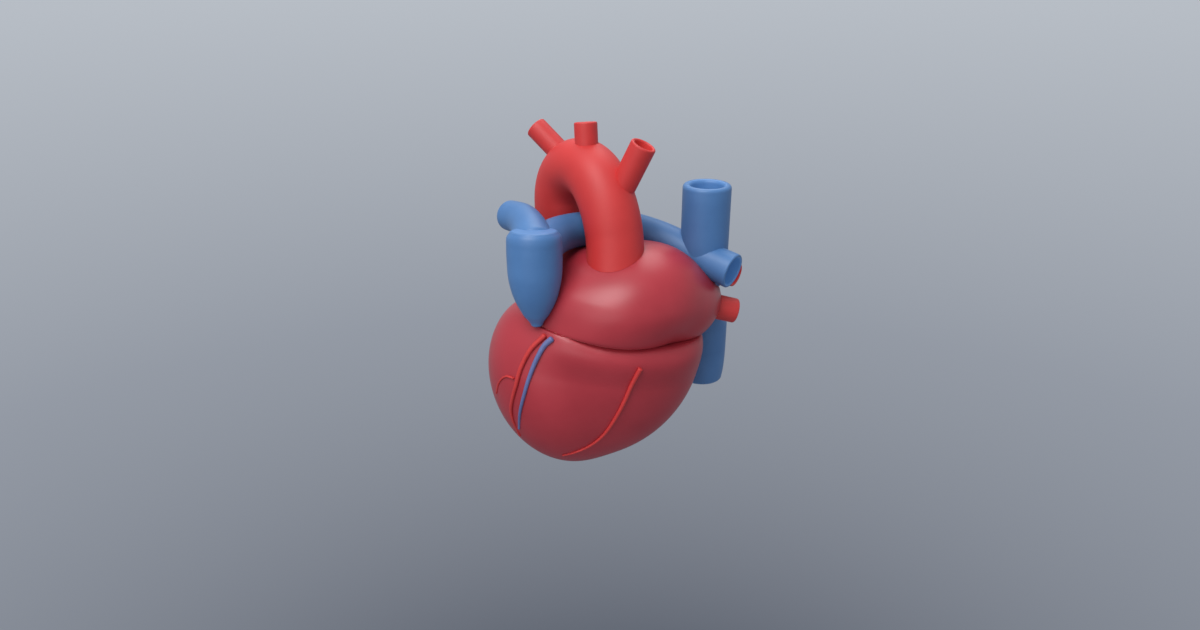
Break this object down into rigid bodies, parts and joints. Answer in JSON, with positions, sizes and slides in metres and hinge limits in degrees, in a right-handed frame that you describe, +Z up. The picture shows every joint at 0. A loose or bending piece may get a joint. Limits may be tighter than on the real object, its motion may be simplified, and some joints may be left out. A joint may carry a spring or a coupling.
{
  "type": "human heart anatomy model",
  "caption": "Life-size take-apart classroom model of a human heart with lift-off ventricle window, lift-off atria and removable great vessels, made as a mirror image.",
  "frame": {"origin": "mouth of the stand socket under the heart, on the socket's axis", "axes": "+Z up along the socket's axis into the heart, -Y out of the front, +X towards the venae cavae"},
  "size_m": [0.1461, 0.1008, 0.1918],
  "materials": {
    "myocardium": "satin moulded plastic, muted crimson",
    "artery": "satin painted plastic, bright red",
    "vein": "satin painted plastic, mid blue",
    "valve": "soft ivory rubber",
    "tendon": "fine ivory cord",
    "muscle": "matte flesh red",
    "brass": "turned",
    "steel": "nickel plated"
  },
  "bodies": {
    "ventricle_block": {"back_ventricle_wall": "myocardium", "valve_plate": "muscle", "mitral_valve": "valve", "tricuspid_valve": "valve", "aortic_valve": "valve", "left_papillary_muscles": "muscle", "right_papillary_muscles": "muscle", "left_chordae_tendineae": "tendon", "right_chordae_tendineae": "tendon", "stand_socket_bush": "brass", "back_wall_magnets": "steel", "wall_locating_pins": "steel"},
    "front_wall": {"front_ventricle_wall": "myocardium", "anterior_interventricular_artery": "artery", "diagonal_artery": "artery", "great_cardiac_vein": "vein", "right_marginal_artery": "artery", "front_wall_magnets": "steel"},
    "atrial_section": {"atrial_wall": "myocardium", "pulmonary_trunk": "vein", "right_pulmonary_artery": "vein", "left_pulmonary_artery": "vein", "pulmonary_valve": "valve", "superior_vena_cava": "vein", "upper_right_pulmonary_vein": "artery", "lower_right_pulmonary_vein": "artery", "upper_left_pulmonary_vein": "artery", "lower_left_pulmonary_vein": "artery", "atrial_locating_pegs": "brass"},
    "aorta": {"aortic_arch": "artery", "brachiocephalic_trunk": "artery", "left_common_carotid_artery": "artery", "left_subclavian_artery": "artery"},
    "lower_vena_cava": {"inferior_vena_cava": "vein"}
  },
  "joints": [
    {"name": "front_wall_lift_off", "type": "slide", "parent": "ventricle_block", "child": "front_wall", "axis": [0, -1, 0], "range_m": [0, 0.1]},
    {"name": "atrial_section_lift_off", "type": "slide", "parent": "ventricle_block", "child": "atrial_section", "axis": [0.165, 0, 0.9863], "range_m": [0, 0.1]},
    {"name": "aorta_lift_out", "type": "slide", "parent": "atrial_section", "child": "aorta", "axis": [0, 0, 1], "range_m": [0, 0.1]},
    {"name": "lower_vena_cava_pull_out", "type": "slide", "parent": "atrial_section", "child": "lower_vena_cava", "axis": [0, 0, -1], "range_m": [0, 0.09]}
  ]
}
